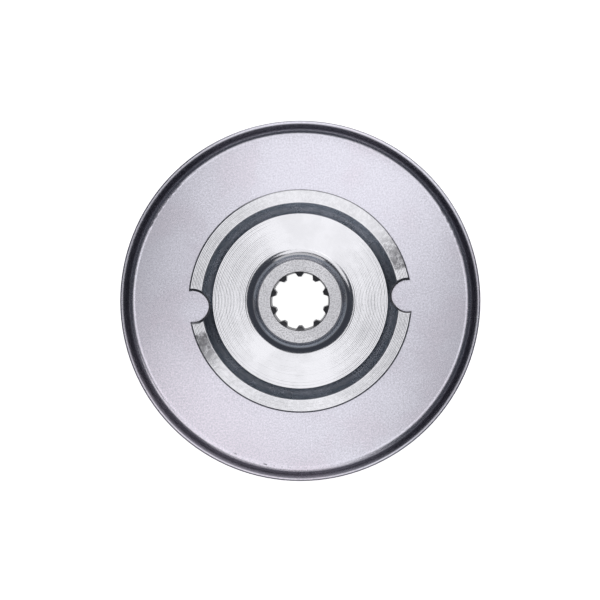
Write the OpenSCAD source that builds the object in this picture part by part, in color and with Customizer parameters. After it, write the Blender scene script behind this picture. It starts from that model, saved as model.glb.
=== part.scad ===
// Blade support cup for a brush cutter: a pressed sheet cup on a turned, splined hub.
// Millimetres. The axis is Z, the blade side is at the bottom and the gear case side is on top.
// The part stands on the end face of its blade collar, at Z = 0, and the notches lie along X.

/* [Cup] */
// Outer diameter of the cup's rim
cup_d = 90; // [80:0.5:120]
// Height of the cup from its flat underside to the rim
cup_h = 6.5; // [4:0.1:14]
// Thickness of the sheet
sheet_t = 0.9; // [0.6:0.1:1.8]
// Inside radius of the bend between floor and wall
bend_r = 1.9; // [0.6:0.1:3]
// Radius worn on the outer corner of the trimmed rim
rim_round = 0.4; // [0.1:0.05:0.5]

/* [Flange] */
// Outer diameter of the hub's flange
flange_d = 56; // [50:0.5:64]
// Height of the flange's ring above the cup's floor
flange_h = 5; // [4:0.1:8]
// Radius on the flange's outer edge
flange_round = 0.5; // [0.1:0.05:1]
// Width of the flat ring between the outer edge and the recess
ring_w = 3.35; // [2:0.05:5]

/* [Recess] */
// Depth of the gear case recess below the ring
recess_depth = 3.2; // [1.5:0.1:4]
// Width of the recess's sloping wall, seen from above
slope_w = 2.5; // [1:0.1:4]

/* [Boss] */
// Diameter of the boss that seats on the bearing
boss_d = 20.8; // [18:0.1:24]
// Height of the boss above the recess's floor
boss_h = 7; // [4.5:0.1:12]
// Radius of the hollow curve at the boss's foot
boss_fillet = 3.5; // [1:0.1:4]
// Bevel on the boss's top edge
boss_bevel = 0.2; // [0.1:0.05:0.6]

/* [Blade collar] */
// Diameter of the collar that centres the blade
collar_d = 25.3; // [20:0.1:32]
// Height of the collar below the cup's underside
collar_h = 2.5; // [1.2:0.1:5]
// Bevel that leads the blade onto the collar
collar_bevel = 0.5; // [0.1:0.05:0.8]
// Width and depth of the relief groove at the collar's root
collar_relief = 0.3; // [0.1:0.05:0.5]
// Width of the hub's shoulder beside the collar, flush with the cup's underside
shoulder_w = 2.4; // [1:0.1:4]
// Gap all round between the shoulder and the cup's hole
hole_gap = 0.05; // [0.02:0.01:0.3]

/* [Spline] */
// Number of spline teeth
spline_teeth = 10; // [8:1:12]
// Diameter across the bottoms of the spline's spaces
spline_major_d = 14.4; // [13.6:0.1:16]
// Diameter across the tips of the spline's teeth
spline_minor_d = 12.4; // [11.6:0.1:13]
// Width of a tooth at its tip
tooth_tip_w = 0.85; // [0.5:0.05:1.1]
// Angle of a tooth's flank from the tooth's centre line
tooth_flank = 38; // [20:1:42]
// Radius in the corners of the spline's spaces
root_round = 0.35; // [0.1:0.05:0.5]
// How far the bevel at each mouth is wider than the spline, on the radius
mouth_extra = 0.15; // [0.05:0.05:0.6]
// Turn of the spline from a tooth square to the notches
spline_turn = -2; // [-18:0.5:18]

/* [Lock pin notches] */
// Number of notches in the flange
notch_count = 2; // [1:1:4]
// Width across a notch
notch_d = 7.8; // [5:0.1:10]
// How far the notch's centre lies inside the flange's edge
notch_inset = 1; // [0:0.1:2]
// Radius on the notch's upper edge
notch_round = 0.8; // [0.2:0.1:1.4]

/* [Hidden] */
$fn = 144;

// Cuts run this far past the faces that they open
cut_past = 1;

// Levels, from the collar's end face up
seat_z = collar_h;
floor_z = seat_z + sheet_t;
ring_z = floor_z + flange_h;
recess_z = ring_z - recess_depth;
boss_z = recess_z + boss_h;

// Radii that the pieces share
cup_r = cup_d / 2;
flange_r = flange_d / 2;
recess_r = flange_r - ring_w;
recess_floor_r = recess_r - slope_w;
boss_r = boss_d / 2;
collar_r = collar_d / 2;
shoulder_r = collar_r + shoulder_w;
major_r = spline_major_d / 2;
minor_r = spline_minor_d / 2;
mouth_r = major_r + mouth_extra;
notch_r = notch_d / 2;

// What is left outside a quarter circle in the corner at the origin, which points to +X and +Y
module outside_corner(r) {
    difference() {
        translate([-r, -r]) square(r + cut_past);
        translate([-r, -r]) circle(r);
    }
}

// Half section of a solid disc whose lower edge is rounded
module bowl_section(r, h, corner) {
    square([r - corner, h]);
    translate([0, corner]) square([r, h - corner]);
    translate([r - corner, corner]) circle(corner);
}

// Half section of the cup: the bent sheet, its hole and the rounded rim
module cup_section() {
    difference() {
        intersection() {
            bowl_section(cup_r, cup_h, bend_r + sheet_t);
            square([cup_r, cup_h]);
        }
        translate([0, sheet_t]) bowl_section(cup_r - sheet_t, cup_h, bend_r);
        translate([0, -cut_past]) square([shoulder_r + hole_gap, sheet_t + 2 * cut_past]);
        translate([cup_r, cup_h]) outside_corner(rim_round);
    }
}

// Half section of the hub before its spline and notches are cut
module hub_section() {
    // The collar, its relief groove, and the shoulder that fills the cup's hole
    polygon([
        [0, 0],
        [collar_r - collar_bevel, 0],
        [collar_r, collar_bevel],
        [collar_r, seat_z - collar_relief],
        [collar_r - collar_relief, seat_z - collar_relief],
        [collar_r - collar_relief, seat_z],
        [shoulder_r, seat_z],
        [shoulder_r, floor_z],
        [0, floor_z],
    ]);
    // The flange, with the recess turned out of it
    difference() {
        translate([0, floor_z]) square([flange_r, flange_h]);
        polygon([
            [0, recess_z],
            [recess_floor_r, recess_z],
            [recess_r, ring_z],
            [recess_r, ring_z + cut_past],
            [0, ring_z + cut_past],
        ]);
        translate([flange_r, ring_z]) outside_corner(flange_round);
    }
    // The boss, with its bevelled top
    polygon([
        [0, floor_z],
        [boss_r, floor_z],
        [boss_r, boss_z - boss_bevel],
        [boss_r - boss_bevel, boss_z],
        [0, boss_z],
    ]);
    // The hollow curve at the boss's foot
    difference() {
        translate([0, floor_z]) square([boss_r + boss_fillet, recess_z - floor_z + boss_fillet]);
        translate([boss_r + boss_fillet, recess_z + boss_fillet]) circle(boss_fillet);
    }
}

// A spline tooth that points inwards along X, drawn out past the bottoms of the spaces
module tooth_section() {
    // Unit vectors along the upper flank and out of it
    along = [cos(tooth_flank), sin(tooth_flank)];
    out = [-along[1], along[0]];
    tip = [minor_r, tooth_tip_w / 2];
    root = tip + (major_r - minor_r + cut_past) * along;
    // Centre of the corner's round, as far from the flank as from the bottom of the space
    beside = tip + root_round * out;
    reach = sqrt((beside * along) ^ 2 - beside * beside + (major_r - root_round) ^ 2);
    centre = beside + (reach - beside * along) * along;
    on_flank = centre - root_round * out;
    on_bottom = centre * major_r / (major_r - root_round);

    polygon([
        [0, -tooth_tip_w / 2],
        [tip[0], -tip[1]],
        [root[0], -root[1]],
        root,
        tip,
        [0, tooth_tip_w / 2],
    ]);
    for (side = [0, 1]) mirror([0, side]) difference() {
        polygon([on_flank, root, on_bottom * root[0] / on_bottom[0], on_bottom]);
        translate(centre) circle(root_round);
    }
}

// Outline of the splined hole
module spline_section() {
    circle(minor_r);
    difference() {
        circle(major_r);
        for (i = [0 : spline_teeth - 1])
            rotate(90 + spline_turn + i * 360 / spline_teeth) tooth_section();
    }
}

// The splined hole, with a bevel that opens it at each mouth
module spline_cut() {
    bevel_h = mouth_r - minor_r + cut_past;
    translate([0, 0, -cut_past]) linear_extrude(boss_z + 2 * cut_past) spline_section();
    for (top = [0, 1])
        translate([0, 0, top * boss_z]) mirror([0, 0, top])
            translate([0, 0, -cut_past])
                cylinder(h = bevel_h + cut_past, r1 = mouth_r + cut_past, r2 = mouth_r - bevel_h);
}

// One round cut through the flange, whose upper edge opens like a bell
module notch_cut() {
    translate([flange_r - notch_inset, 0, floor_z - cut_past]) cylinder(h = flange_h + 2 * cut_past, r = notch_r);
    translate([flange_r - notch_inset, 0, ring_z - notch_round]) rotate_extrude() difference() {
        square([notch_r + notch_round, notch_round + cut_past]);
        translate([notch_r + notch_round, 0]) circle(notch_round);
    }
}

// The pressed cup, whose underside is the blade's seat
module pressed_cup() {
    color([0.80, 0.79, 0.84]) translate([0, 0, seat_z]) rotate_extrude() cup_section();
}

// The turned hub: collar, flange, recess and boss around the spline
module splined_hub() {
    color([0.72, 0.73, 0.75]) difference() {
        rotate_extrude() hub_section();
        spline_cut();
        for (i = [0 : notch_count - 1]) rotate(i * 360 / notch_count) notch_cut();
    }
}

pressed_cup();
splined_hub();
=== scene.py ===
# %% [markdown]
# # Blade support cup for a brush cutter
#
# The object is two pieces of zinc-plated steel. The cup is pressed from sheet, with a short
# upturned rim. The hub is turned on a lathe, and sits in the cup's hole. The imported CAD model
# holds both at their real size. This lesson adds what a drawing leaves out: the marks that the
# lathe tool leaves, the finish of each surface, the light and the camera.

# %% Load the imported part
import math
import random

import bpy
from mathutils import Matrix, Vector


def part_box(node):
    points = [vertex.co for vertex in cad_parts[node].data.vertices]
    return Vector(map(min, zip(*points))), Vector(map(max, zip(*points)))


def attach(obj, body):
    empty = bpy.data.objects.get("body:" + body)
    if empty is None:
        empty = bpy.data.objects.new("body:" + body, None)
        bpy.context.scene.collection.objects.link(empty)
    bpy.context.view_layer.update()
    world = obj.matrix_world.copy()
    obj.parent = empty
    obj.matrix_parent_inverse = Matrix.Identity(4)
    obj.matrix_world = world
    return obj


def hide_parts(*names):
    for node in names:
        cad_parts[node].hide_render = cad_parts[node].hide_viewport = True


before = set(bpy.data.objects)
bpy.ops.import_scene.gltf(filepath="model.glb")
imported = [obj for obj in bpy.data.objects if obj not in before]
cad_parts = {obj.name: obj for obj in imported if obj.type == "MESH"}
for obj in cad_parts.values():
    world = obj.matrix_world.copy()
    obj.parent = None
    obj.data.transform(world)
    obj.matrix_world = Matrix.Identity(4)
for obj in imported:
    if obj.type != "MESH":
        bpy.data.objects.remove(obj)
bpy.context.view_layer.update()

# %% [markdown]
# ## Sizes
#
# Blender works in metres here, so every length is written in millimetres times `mm`. What the
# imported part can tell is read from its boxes, and the rest are the drawing's own sizes. A size
# that is written once can't disagree with itself later.

# %% Sizes of the hub, read from the frame where it knows them
mm = 0.001
deg = math.radians(1)
hub_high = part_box("splined_hub")[1]
cup_low, cup_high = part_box("pressed_cup")
sheet_t = 0.9 * mm
flange_h = 5 * mm
recess_depth = 3.2 * mm
flange_r = hub_high[1]
boss_z = hub_high[2]
cup_r = cup_high[0]
rim_z = cup_high[2]
seat_z = cup_low[2]
floor_z = seat_z + sheet_t
ring_z = floor_z + flange_h
recess_z = ring_z - recess_depth
print("boss top, ring, recess and cup floor at", boss_z, ring_z, recess_z, floor_z)

# %% Radii of the hub
flange_round = 0.5 * mm
ring_w = 3.35 * mm
slope_w = 2.5 * mm
recess_r = flange_r - ring_w
recess_floor_r = recess_r - slope_w
boss_r = 10.4 * mm
boss_fillet = 3.5 * mm
boss_bevel = 0.2 * mm
collar_r = 12.65 * mm
collar_bevel = 0.5 * mm
collar_relief = 0.3 * mm
shoulder_w = 2.4 * mm
shoulder_r = collar_r + shoulder_w
print("recess from", recess_floor_r, "to", recess_r, "and flange to", flange_r)

# %% [markdown]
# ## The lathe tool's path
#
# A turned face is never quite flat. The tool has a round nose, and it moves on by one feed in
# each turn of the work, so it leaves a row of shallow scoops. They are too fine for the CAD
# file, but they make the fans of light that give a turned face away. They could be a bump in
# the material. Here they are shape, because a bump is blurred away once a mark is narrower
# than a pixel, and because shape also looks right from close by.

# %% Straight and round stretches of a half section
def arc(centre, radius, start, end, steps):
    """Points on a circle in the (radius, height) plane, between two angles in degrees."""
    angles = [math.radians(start + (end - start) * i / steps) for i in range(steps + 1)]
    return [(centre[0] + radius * math.cos(a), centre[1] + radius * math.sin(a)) for a in angles]


print("a quarter circle in 4 steps has", len(arc((0, 0), 1, 0, 90, 4)), "points")

# %% Scoops of the tool's nose along a straight stretch
chatter = random.Random(7)


def turned(start, end, feed, nose_r, steps=6):
    """Points from start up to end. The nose scoops into what lies left of the path."""
    length = math.dist(start, end)
    turns = max(1, round(length / feed))
    along = ((end[0] - start[0]) / length, (end[1] - start[1]) / length)
    left = (-along[1], along[0])
    points = []
    for turn in range(turns):
        scoop = (length / turns) ** 2 / (2 * nose_r) * chatter.uniform(0.8, 1.2)
        for step in range(steps):
            t = step / steps
            depth = scoop * t * (1 - t)
            reach = (turn + t) * length / turns
            points.append(tuple(s + reach * a + depth * n for s, a, n in zip(start, along, left)))
    return points


face_feed = 0.367 * mm
nose_r = 0.9 * mm
slope_nose_r = 3 * nose_r
print("a scoop is about", round(face_feed ** 2 / (8 * nose_r) / mm * 1000, 1), "micrometres deep")

# %% [markdown]
# ## The hub's half section
#
# A lathe makes what a compass and ruler can draw: the solid is one outline, spun round the
# axis. The outline starts at the collar's end face, goes out and up round the flange, and comes
# back in over the ring, the recess and the boss. It leaves out the hole, which is broached
# later, as in the workshop.

# %% The outline, from the axis below to the axis on top
underside = [
    (0, 0),
    (collar_r - collar_bevel, 0),
    (collar_r, collar_bevel),
    (collar_r, seat_z - collar_relief),
    (collar_r - collar_relief, seat_z - collar_relief),
    (collar_r - collar_relief, seat_z),
    (shoulder_r, seat_z),
    (shoulder_r, floor_z),
    (flange_r, floor_z),
]
outer_edge = arc((flange_r - flange_round, ring_z - flange_round), flange_round, 0, 90, 8)
ring = turned(outer_edge[-1], (recess_r, ring_z), face_feed, nose_r)
slope = turned((recess_r, ring_z), (recess_floor_r, recess_z), face_feed, slope_nose_r)
face = turned((recess_floor_r, recess_z), (boss_r + boss_fillet, recess_z), face_feed, nose_r)
foot = arc((boss_r + boss_fillet, recess_z + boss_fillet), boss_fillet, 270, 180, 24)
boss = [(boss_r, boss_z - boss_bevel), (boss_r - boss_bevel, boss_z), (0, boss_z)]
hub_section = underside + outer_edge[:-1] + ring + slope + face + foot + boss
print("the half section has", len(hub_section), "points")

# %% [markdown]
# ## Spinning and cutting
#
# Blender has a Screw modifier that spins an outline. A short function does the same here with
# nothing left to apply, and it closes the ends on the axis, so the result is a true solid that
# a boolean can cut. The cutters are solids too: a splined prism, two cones for the mouths'
# bevels, and a bell-mouthed plug for each notch.

# %% Spin a half section into a closed solid
def new_piece(name, verts, faces):
    mesh = bpy.data.meshes.new(name)
    mesh.from_pydata(verts, [], faces)
    piece = bpy.data.objects.new(name, mesh)
    bpy.context.scene.collection.objects.link(piece)
    return piece


def spin(name, section, segments, centre=(0, 0)):
    """Spins an outline round a vertical axis. Its first and last points lie on the axis."""
    rings = section[1:-1]
    turn = [2 * math.pi * i / segments for i in range(segments)]
    verts = [(centre[0] + r * math.cos(a), centre[1] + r * math.sin(a), z)
             for r, z in rings for a in turn]
    low = len(verts)
    verts += [(*centre, section[0][1]), (*centre, section[-1][1])]
    faces = []
    for i in range(segments):
        j = (i + 1) % segments
        faces.append((low, j, i))
        top = (len(rings) - 1) * segments
        faces.append((low + 1, top + i, top + j))
        for k in range(0, top, segments):
            faces.append((k + i, k + j, k + segments + j, k + segments + i))
    return new_piece(name, verts, faces)


hub_segments = 288
hub = spin("turned_hub", hub_section, hub_segments)
print("the blank has", len(hub.data.polygons), "faces")

# %% [markdown]
# ## The spline
#
# A broach cuts ten round-bottomed spaces and leaves ten teeth. The outline of one tooth is
# worked out and repeated: an arc on the teeth's tips, a straight flank, a small round in the
# corner, and an arc on the bottoms of the spaces. Only one half of a tooth has to be found,
# since the other half is its mirror image.

# %% One half of a tooth, from its tip to the bottom of the space
spline_teeth = 10
spline_turn = -2
major_r = 7.2 * mm
minor_r = 6.2 * mm
half_tip = 0.425 * mm
tooth_flank = math.radians(38)
root_round = 0.35 * mm


def half_tooth():
    """Points (x, y) of a tooth that points inwards along X, on the side of +Y."""
    along = Vector((math.cos(tooth_flank), math.sin(tooth_flank)))
    out = Vector((-along.y, along.x))
    beside = Vector((minor_r, half_tip)) + root_round * out
    reach = math.sqrt(beside.dot(along) ** 2 - beside.dot(beside) + (major_r - root_round) ** 2)
    centre = beside + (reach - beside.dot(along)) * along
    from_flank = math.degrees(math.atan2(-out.y, -out.x))
    to_bottom = math.degrees(math.atan2(centre.y, centre.x))
    tip = (math.sqrt(minor_r ** 2 - half_tip ** 2), half_tip)
    return [tip] + arc(centre, root_round, from_flank, to_bottom, 6)


print("half a tooth has", len(half_tooth()), "points")

# %% The whole outline, and the cutters for the hole
def spline_outline():
    half = half_tooth()
    tooth = [(x, -y) for x, y in reversed(half)] + half
    bottom = math.degrees(math.atan2(half[-1][1], half[-1][0]))
    pitch = 360 / spline_teeth
    space = arc((0, 0), major_r, bottom, pitch - bottom, 8)[1:-1]
    points = []
    for i in range(spline_teeth):
        turn = math.radians(90 + spline_turn + i * pitch)
        points += [(x * math.cos(turn) - y * math.sin(turn), x * math.sin(turn) + y * math.cos(turn))
                   for x, y in tooth + space]
    return points


def prism(name, outline, low, high):
    count = len(outline)
    verts = [(x, y, low) for x, y in outline] + [(x, y, high) for x, y in outline]
    faces = [(i, (i + 1) % count, count + (i + 1) % count, count + i) for i in range(count)]
    faces += [tuple(reversed(range(count))), tuple(range(count, 2 * count))]
    return new_piece(name, verts, faces)


cut_past = 1 * mm
mouth_extra = 0.15 * mm
mouth_r = major_r + mouth_extra
spline_cutter = prism("spline_cutter", spline_outline(), -cut_past, boss_z + cut_past)
low_mouth = spin(
    "low_mouth",
    [(0, -cut_past), (mouth_r + cut_past, -cut_past), (0, mouth_r)],
    hub_segments,
)
high_mouth = spin(
    "high_mouth",
    [(0, boss_z - mouth_r), (mouth_r + cut_past, boss_z + cut_past), (0, boss_z + cut_past)],
    hub_segments,
)
print("the spline's outline has", len(spline_outline()), "points")

# %% [markdown]
# ## The two lock pin notches
#
# A pin goes through either notch to hold the hub while the blade's nut is undone. Each is a
# half-round bite in the flange. In the photo its upper edge is broken by a soft round, so the
# plug that cuts it opens like a bell towards the top.

# %% Cut the notches and the hole
notch_r = 3.9 * mm
notch_round = 0.8 * mm
notch_inset = 1 * mm
notch_segments = 96
notch_x = flange_r - notch_inset
notch_section = [(0, floor_z - cut_past), (notch_r, floor_z - cut_past)]
notch_section += arc((notch_r + notch_round, ring_z - notch_round), notch_round, 180, 90, 8)
notch_section += [(notch_r + notch_round, ring_z + cut_past), (0, ring_z + cut_past)]
notches = [
    spin("notch_cutter", notch_section, notch_segments, centre=(side * notch_x, 0))
    for side in (1, -1)
]


def cut(piece, cutters):
    """Takes the cutters out of the piece, and then removes them."""
    for cutter in cutters:
        modifier = piece.modifiers.new("cut", "BOOLEAN")
        modifier.solver = "MANIFOLD"
        modifier.operation = "DIFFERENCE"
        modifier.object = cutter
    graph = bpy.context.evaluated_depsgraph_get()
    mesh = bpy.data.meshes.new_from_object(piece.evaluated_get(graph))
    piece.modifiers.clear()
    piece.data = mesh
    for cutter in cutters:
        bpy.data.objects.remove(cutter)


cut(hub, [spline_cutter, low_mouth, high_mouth] + notches)
edge_angle = math.radians(30)
hub.data.shade_smooth()
hub.data.set_sharp_from_angle(angle=edge_angle)
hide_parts("splined_hub")
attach(hub, "root")
print("the hub has", len(hub.data.polygons), "faces and", len(hub.data.vertices), "points")

# %% [markdown]
# ## Shader maths as plain expressions
#
# A finish is a set of formulas over the surface. Blender wants each step of a formula as a
# node, and a tree of Math nodes is hard to read. One small class wraps a node's output and
# takes over Python's operators, so that `1 - mask * 0.5` adds the two nodes by itself.

# %% A node's output that can be added, multiplied and raised to a power
class Value:
    """One output of a shader node. An expression with it adds the Math nodes that it needs."""

    def __init__(self, socket):
        self.socket = socket

    def node(self, kind, settings=None, inputs=None, output=0):
        """Adds a node: its settings first, then what each of its sockets gets."""
        tree = self.socket.id_data
        node = tree.nodes.new(kind)
        for name, setting in (settings or {}).items():
            setattr(node, name, setting)
        for place, given in (inputs or {}).items():
            if isinstance(given, Value):
                tree.links.new(given.socket, node.inputs[place])
            else:
                node.inputs[place].default_value = given
        return Value(node.outputs[output])

    def math(self, operation, *terms):
        return self.node("ShaderNodeMath", {"operation": operation}, dict(enumerate(terms)))

    def __add__(self, other):
        return self.math("ADD", self, other)

    def __sub__(self, other):
        return self.math("SUBTRACT", self, other)

    def __rsub__(self, other):
        return self.math("SUBTRACT", other, self)

    def __mul__(self, other):
        return self.math("MULTIPLY", self, other)

    def __pow__(self, other):
        return self.math("POWER", self, other)

    __radd__ = __add__
    __rmul__ = __mul__


print("expressions of values build Math nodes")

# %% Ways to read the surface
def rise(value, start, end):
    """0 below start, 1 above end, and a soft change between. Start may be the larger."""
    sockets = {"Value": value, "From Min": start, "From Max": end}
    return value.node("ShaderNodeMapRange", {"interpolation_type": "SMOOTHSTEP"}, sockets)


def noise(place, size, detail=2.0, roughness=0.5):
    """Cloudy noise from 0 to 1, whose lumps are about as wide as the size given."""
    sockets = {"Vector": place, "Scale": 1 / size, "Detail": detail, "Roughness": roughness}
    return place.node("ShaderNodeTexNoise", {"noise_dimensions": "3D"}, sockets)


def blend_colours(mask, low, high):
    """The colour low where the mask is 0, and high where it is 1."""
    return mask.node("ShaderNodeMix", {"data_type": "RGBA"}, {0: mask, 6: low, 7: high}, output=2)


print("helpers: rise, noise, blend_colours")

# %% A new finish and the coordinates it works in
def new_finish(name):
    """A steel material. Returns it, its shader, and the part's own coordinates in metres."""
    material = bpy.data.materials.new(name)
    material.use_nodes = True
    nodes = material.node_tree.nodes
    shader = nodes["Principled BSDF"]
    shader.inputs["Metallic"].default_value = 1.0
    place = Value(nodes.new("ShaderNodeTexCoord").outputs["Object"])
    return material, shader, place


def split(place):
    """The x, y and z of a place, each as a value."""
    return [place.node("ShaderNodeSeparateXYZ", {}, {0: place}, output=axis) for axis in range(3)]


def join(x, y, z):
    return x.node("ShaderNodeCombineXYZ", {}, {0: x, 1: y, 2: z})


def plug(value, shader, socket):
    shader.id_data.links.new(value.socket, shader.inputs[socket])


def dress(piece, material):
    piece.data.materials.clear()
    piece.data.materials.append(material)


print("a finish starts as bare metal")

# %% [markdown]
# ## The turned hub's finish
#
# Bright zinc on turned steel is a clean mirror, broken by what use and plating leave. The lathe
# put each face at its own radius, so the masks are bands of radius and height. Each mask says
# where one thing is true: the slope, whose dark steel blue is painted shade with a painted
# lighter band, the stained arcs beside the notches and the mottled top of the boss. The notches'
# edges and the hole are painted dark grey as shade, and so is a spot at the lower right of the
# recess floor.

# %% Where things are on the hub
turned_steel, shader, place = new_finish("turned_steel")
x, y, z = split(place)
radius = (x * x + y * y) ** 0.5
angle = x.math("ARCTAN2", y, x)
streak_length = 2 * mm
polar = join(radius, angle * streak_length, z)

on_slope = rise(radius, recess_floor_r - 0.05 * mm, recess_floor_r + 0.15 * mm)
on_slope = on_slope * rise(radius, recess_r + 0.1 * mm, recess_r - 0.15 * mm)
on_ring = rise(radius, recess_r + 0.1 * mm, recess_r + 0.3 * mm)
on_ring = on_ring * rise(z, ring_z - 0.3 * mm, ring_z - 0.1 * mm)
on_boss = rise(z, boss_z - 0.5 * mm, boss_z - 0.15 * mm)
in_hole = rise(radius, mouth_r + 0.05 * mm, mouth_r - 0.12 * mm)
from_notch = ((x.math("ABSOLUTE", x) - notch_x) ** 2 + y * y) ** 0.5
at_notch = rise(from_notch, notch_r + 0.75 * notch_round, notch_r + 0.45 * notch_round)
print("bands of radius and height find each face")

# %% Stained arcs, which follow each notch as the hub turns
after_notch = angle.math("WRAP", angle, math.pi, 0.0)
stain_start = 15 * deg
stain_end = 42 * deg
stain_edge = 0.02
stain = rise(after_notch, stain_start - stain_edge, stain_start + stain_edge)
stain = stain * rise(after_notch, stain_end, stain_start)
clouds = noise(place, 0.8 * mm, detail=5.0, roughness=0.75)
mottle = rise(clouds, 0.36, 0.58)
stain = (stain * (0.35 + mottle * 0.65) + mottle * 0.14) * on_ring
above_notch = rise(after_notch, -2 * deg, 4 * deg) * rise(after_notch, 40 * deg, 8 * deg)
# A band in the middle of the slope, which gets a painted lighter sheen.
mid_slope = rise(radius, recess_floor_r + 0.3 * mm, recess_floor_r + 0.9 * mm)
mid_slope = mid_slope * rise(radius, recess_floor_r + 1.7 * mm, recess_floor_r + 1.1 * mm)
print("a stain starts", round(math.degrees(stain_start)), "degrees past each notch")

# %% Base colour and roughness of the hub
bright_zinc = (0.80, 0.795, 0.825, 1.0)
# The slope's colour below is painted shade: the dark room that the steep slope mirrors.
slope_shade_blue = (0.130, 0.165, 0.205, 1.0)
near_black = (0.05, 0.058, 0.07, 1.0)
stain_and_shade_grey = (0.30, 0.295, 0.31, 1.0)
mottle_dark = (0.46, 0.455, 0.475, 1.0)
dark_shade_grey = (0.17, 0.17, 0.18, 1.0)
streaks = noise(polar, 0.16 * mm, detail=3.0, roughness=0.6)
specks = noise(place, 0.32 * mm, detail=2.0, roughness=0.6)
smudges = noise(place, 7 * mm, detail=3.0, roughness=0.55)
# Painted shade: a dark spot on the recess floor at the lower right stands in for the dark fan of the
# turned face's mirrored light. The broad smudges from the noise are random tone, and the same grey
# also serves the real stains.
shade_spot_x = 17 * mm
shade_spot_y = -8.5 * mm
from_shade_spot = ((x - shade_spot_x) ** 2 + (y - shade_spot_y) ** 2) ** 0.5
lower_right_shade = rise(from_shade_spot, 5 * mm, 1 * mm)
smudges_and_painted_shade = rise(smudges, 0.62, 0.40) * 0.06 + lower_right_shade * 0.10
colour = blend_colours(smudges_and_painted_shade, bright_zinc, stain_and_shade_grey)
# Painted shade: the slope's dark steel blue stands in for the dark room that the steep slope
# mirrors, and the lighter band in its middle is a painted sheen. The streaks along the turning are
# real marks. Just past each notch the slope is made darker still.
streaks_and_painted_sheen = rise(streaks, 0.3, 0.7) * 0.25 + mid_slope * 0.12
slope_colour = blend_colours(streaks_and_painted_sheen, slope_shade_blue, bright_zinc)
slope_colour = blend_colours(above_notch * 0.75, slope_colour, near_black)
colour = blend_colours(on_slope, colour, slope_colour)
colour = blend_colours(stain, colour, stain_and_shade_grey)
mottled = on_boss * (0.25 + rise(specks, 0.42, 0.62) * 0.75)
colour = blend_colours(mottled, colour, mottle_dark)
# Painted shade: the notches' walls and rounded edges, and the hole with its bevelled mouths, are
# made dark grey where shade falls.
colour = blend_colours(at_notch * 0.9, colour, dark_shade_grey)
colour = blend_colours(in_hole, colour, dark_shade_grey)
plug(colour, shader, "Base Color")
worn = 0.14 + on_slope * 0.10 + stain * 0.22 + on_boss * 0.12 + rise(smudges, 0.62, 0.36) * 0.05
plug(worn, shader, "Roughness")
dress(hub, turned_steel)
print("nodes in the hub's finish:", len(turned_steel.node_tree.nodes))

# %% [markdown]
# ## The pressed cup's finish
#
# The sheet is plated before pressing, so it is duller than the hub, with a fine even grain and
# faint warm clouds in its lavender grey. The finish stretches light along the radius. Two of the
# shader's sockets do that, the strength and the direction, with no texture at all.

# %% Zinc sheet
zinc_sheet, shader, place = new_finish("zinc_sheet")
shader.inputs["Anisotropic"].default_value = 0.6
shader.inputs["Anisotropic Rotation"].default_value = 0.25
lavender = (0.79, 0.775, 0.855, 1.0)
warm_cloud = (0.835, 0.735, 0.825, 1.0)
grain_dark = (0.665, 0.65, 0.725, 1.0)
wall_shade_black = (0.10, 0.10, 0.12, 1.0)
x, y, z = split(place)
radius = (x * x + y * y) ** 0.5
on_wall = rise(radius, cup_r - 1.55 * mm, cup_r - 1.1 * mm)
on_wall = on_wall * rise(radius, cup_r - 0.6 * mm, cup_r - 0.85 * mm)
clouds = noise(place, 13 * mm, detail=3.0, roughness=0.5)
grain = noise(place, 0.42 * mm, detail=3.0, roughness=0.75)
lower_left = rise(x * -0.7 - y * 0.7, 18 * mm, 42 * mm)
sheet = blend_colours(rise(clouds, 0.50, 0.68) * 0.4 + lower_left * 0.6, lavender, warm_cloud)
sheet = blend_colours(rise(grain, 0.30, 0.70), sheet, grain_dark)
# Painted shade: the steep wall just inside the rim is made near black, as the dark room it mirrors.
sheet = blend_colours(on_wall * 0.75, sheet, wall_shade_black)
plug(sheet, shader, "Base Color")
dullness = 0.20 + rise(grain, 0.3, 0.7) * 0.05 + rise(clouds, 0.4, 0.7) * 0.03
plug(dullness, shader, "Roughness")
dress(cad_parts["pressed_cup"], zinc_sheet)
print("nodes in the cup's finish:", len(zinc_sheet.node_tree.nodes))

# %% [markdown]
# ## The camera
#
# The photo looks straight down. How far down follows from the hole: its far end looks smaller
# than its near end by the ratio of their distances. The camera's foot is a little right of and
# above the picture's middle, and the part lies turned by about three degrees.

# %% Camera
picture_px = 600
lens_px = 923
sensor_mm = 36
camera_z = 239 * mm
foot_right = 2.0 * mm
foot_up = 2.1 * mm
aim_up = 0.29 * mm
part_turn = math.radians(2.9)
right = Vector((math.cos(part_turn), -math.sin(part_turn), 0))
up = Vector((math.sin(part_turn), math.cos(part_turn), 0))
aim = Vector((0, 0, rim_z)) + aim_up * up

camera = bpy.data.objects.new("camera", bpy.data.cameras.new("camera"))
bpy.context.scene.collection.objects.link(camera)
bpy.context.scene.camera = camera
camera.data.sensor_width = sensor_mm
camera.data.lens = lens_px / picture_px * sensor_mm
camera.data.clip_start = 10 * mm
camera.location = foot_right * right + foot_up * up + Vector((0, 0, camera_z))
backward = (camera.location - aim).normalized()
across = up.cross(backward).normalized()
above = backward.cross(across)
camera.rotation_euler = Matrix((across, above, backward)).transposed().to_euler()
print("camera at", [round(c, 4) for c in camera.location])

# %% [markdown]
# ## Floor and light
#
# A bright metal part shows its surroundings more than itself, so the light is laid out as what
# the metal should mirror. A long softbox hangs overhead, and a second one leans in from the
# upper right. A low one near the horizon puts a glow on the steep walls, and the dark room
# makes the black lines. The floor and the cove round it are a light table: they shine white
# into the camera, and the metal doesn't mirror them. What it mirrors below the horizon is the
# world's grey, so that the part isn't black from the side.

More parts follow.
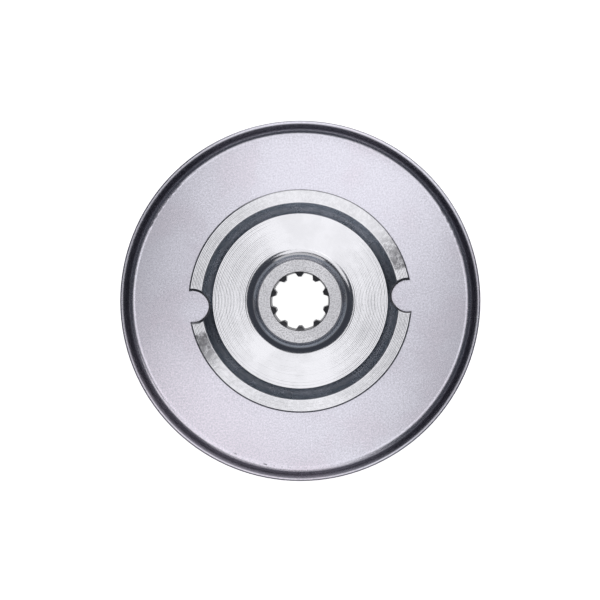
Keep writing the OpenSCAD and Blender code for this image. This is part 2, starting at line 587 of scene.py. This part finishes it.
# %% Light table
scene = bpy.context.scene
scene.view_settings.view_transform = "Standard"
cove_r = 2.5
cove_h = 2.0
cove_bend = 0.5
cove_segments = 64
table_glow = 0.95
cove_foot = arc((cove_r - cove_bend, cove_bend), cove_bend, 270, 360, 12)
cove_section = [(0, 0)] + cove_foot + [(cove_r, cove_h), (0, cove_h)]
cove = spin("light_table", cove_section, cove_segments)
table = bpy.data.materials.new("light_table")
table.use_nodes = True
table_shader = table.node_tree.nodes["Principled BSDF"]
table_shader.inputs["Base Color"].default_value = (0.9, 0.9, 0.9, 1)
table_shader.inputs["Emission Color"].default_value = (1, 1, 1, 1)
table_shader.inputs["Emission Strength"].default_value = table_glow
dress(cove, table)
for ray in ("visible_glossy", "visible_diffuse", "visible_shadow", "visible_transmission"):
    setattr(cove, ray, False)
world = bpy.data.worlds.new("studio")
scene.world = world
world.use_nodes = True
background = world.node_tree.nodes["Background"]
way = Value(world.node_tree.nodes.new("ShaderNodeTexCoord").outputs["Generated"])
dark_room = (0.045, 0.05, 0.062, 1.0)
horizon_grey = (0.24, 0.245, 0.26, 1.0)
bench_grey = (0.42, 0.42, 0.43, 1.0)
height = split(way)[2]
glow_top = 0.42
glow_full = 0.06
bench_full = -0.12
room = blend_colours(rise(height, glow_top, glow_full), dark_room, horizon_grey)
surroundings = blend_colours(rise(height, 0.0, bench_full), room, bench_grey)
plug(surroundings, background, "Color")
print("the cove is", cove_r, "metres in radius")

# %% Softboxes
box_distance = 0.8


def softbox(name, off_vertical, azimuth, length, width, brightness):
    """Hangs a softbox that faces the part. Its sizes are angles, seen from the part."""
    direction = Vector((
        math.sin(off_vertical) * math.cos(azimuth),
        math.sin(off_vertical) * math.sin(azimuth),
        math.cos(off_vertical),
    ))
    light = bpy.data.lights.new(name, "AREA")
    light.shape = "RECTANGLE"
    light.size = 2 * box_distance * math.tan(length / 2)
    light.size_y = 2 * box_distance * math.tan(width / 2)
    light.energy = brightness * math.pi * light.size * light.size_y
    box = bpy.data.objects.new(name, light)
    scene.collection.objects.link(box)
    box.location = direction * box_distance
    aside = Vector((-math.sin(azimuth), math.cos(azimuth), 0))
    aside = (aside - aside.dot(direction) * direction).normalized()
    box.rotation_euler = Matrix((aside, direction.cross(aside), direction)).transposed().to_euler()


softbox("overhead", 2 * deg, 75 * deg, length=27 * deg, width=48 * deg, brightness=1.08)
softbox("upper_right", 38 * deg, 66 * deg, length=62 * deg, width=26 * deg, brightness=1.0)
softbox("low_glow", 74 * deg, 88 * deg, length=60 * deg, width=32 * deg, brightness=0.5)
print("softboxes hang", box_distance, "metres from the part")
